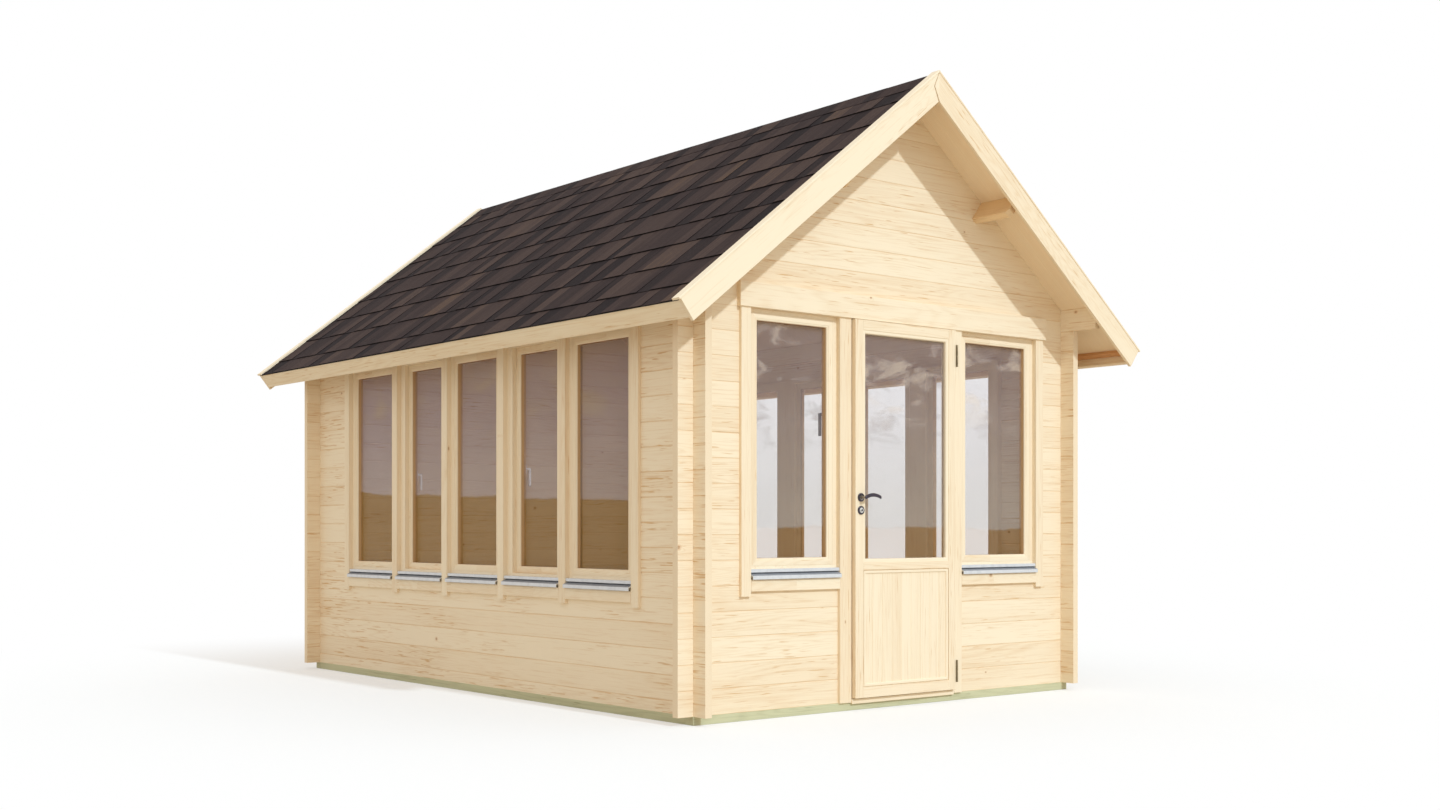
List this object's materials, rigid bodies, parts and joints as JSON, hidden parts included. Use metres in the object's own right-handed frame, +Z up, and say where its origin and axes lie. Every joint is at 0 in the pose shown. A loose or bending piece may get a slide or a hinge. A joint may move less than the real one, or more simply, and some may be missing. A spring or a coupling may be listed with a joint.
{
  "type": "garden room",
  "caption": "Log garden room with crossed corners, a steep shingled gable roof, a half-glazed door and tall windows in the front and side walls.",
  "frame": {"origin": "on the ground under the middle of the roof's plan", "axes": "+X to the right along the front wall, +Y from the front gable to the back, +Z up"},
  "size_m": [3.683, 5.036, 3.5786],
  "materials": {
    "wall_logs": "matte",
    "trim_boards": "matte",
    "window_timber": "matte",
    "door_timber": "matte",
    "roof_timber": "matte",
    "floor_timber": "matte",
    "treated_timber": "matte",
    "glazing": "smooth",
    "sill_sheet": "satin",
    "lever_metal": "satin",
    "cylinder_metal": "satin",
    "hinge_metal": "satin",
    "shingle_felt": "rough",
    "ridge_sheet": "satin"
  },
  "bodies": {
    "house": {"bearer_front": "treated_timber", "bearer_back": "treated_timber", "side_bearers": "treated_timber", "floor_joists": "treated_timber", "floor_boards": "floor_timber", "front_wall_left": "wall_logs", "front_wall_right": "wall_logs", "front_gable": "wall_logs", "back_wall": "wall_logs", "left_wall": "wall_logs", "right_wall": "wall_logs", "front_window_frame": "window_timber", "front_sashes": "window_timber", "front_panes": "glazing", "front_window_trims": "trim_boards", "left_window_frame": "window_timber", "left_sashes": "window_timber", "left_panes": "glazing", "left_window_trims": "trim_boards", "right_window_frame": "window_timber", "right_sashes": "window_timber", "right_panes": "glazing", "right_window_trims": "trim_boards", "sill_boards": "trim_boards", "window_sills": "sill_sheet", "window_handles": "lever_metal", "header_board": "trim_boards", "door_frame": "window_timber", "threshold": "treated_timber", "frame_hinges": "hinge_metal", "purlins": "wall_logs", "roof_boards_left": "roof_timber", "roof_boards_right": "roof_timber", "shingles_left": "shingle_felt", "shingles_right": "shingle_felt", "ridge_strip": "ridge_sheet", "fascia_boards": "trim_boards", "eave_battens": "roof_timber", "front_barge_left": "trim_boards", "front_barge_right": "trim_boards", "back_barge_left": "trim_boards", "back_barge_right": "trim_boards", "front_caps": "trim_boards", "back_caps": "trim_boards"},
    "door": {"door_leaf": "door_timber", "door_beads": "door_timber", "door_glass": "glazing", "door_panel": "door_timber", "door_rosettes": "lever_metal", "door_cylinder": "cylinder_metal", "leaf_hinges": "hinge_metal"},
    "door_lever": {"door_lever": "lever_metal"}
  },
  "joints": [
    {"name": "door_hinge", "type": "hinge", "parent": "house", "child": "door", "pos_m": [0.4385, -2.2425, 0], "axis": [0, 0, 1], "range_deg": [0, 100]},
    {"name": "lever_turn", "type": "hinge", "parent": "door", "child": "door_lever", "pos_m": [-0.344, -2.2, 1.19], "axis": [0, 1, 0], "range_deg": [0, 45], "stiffness_Nm_per_rad": 1.2, "springref_deg": -28.65}
  ]
}
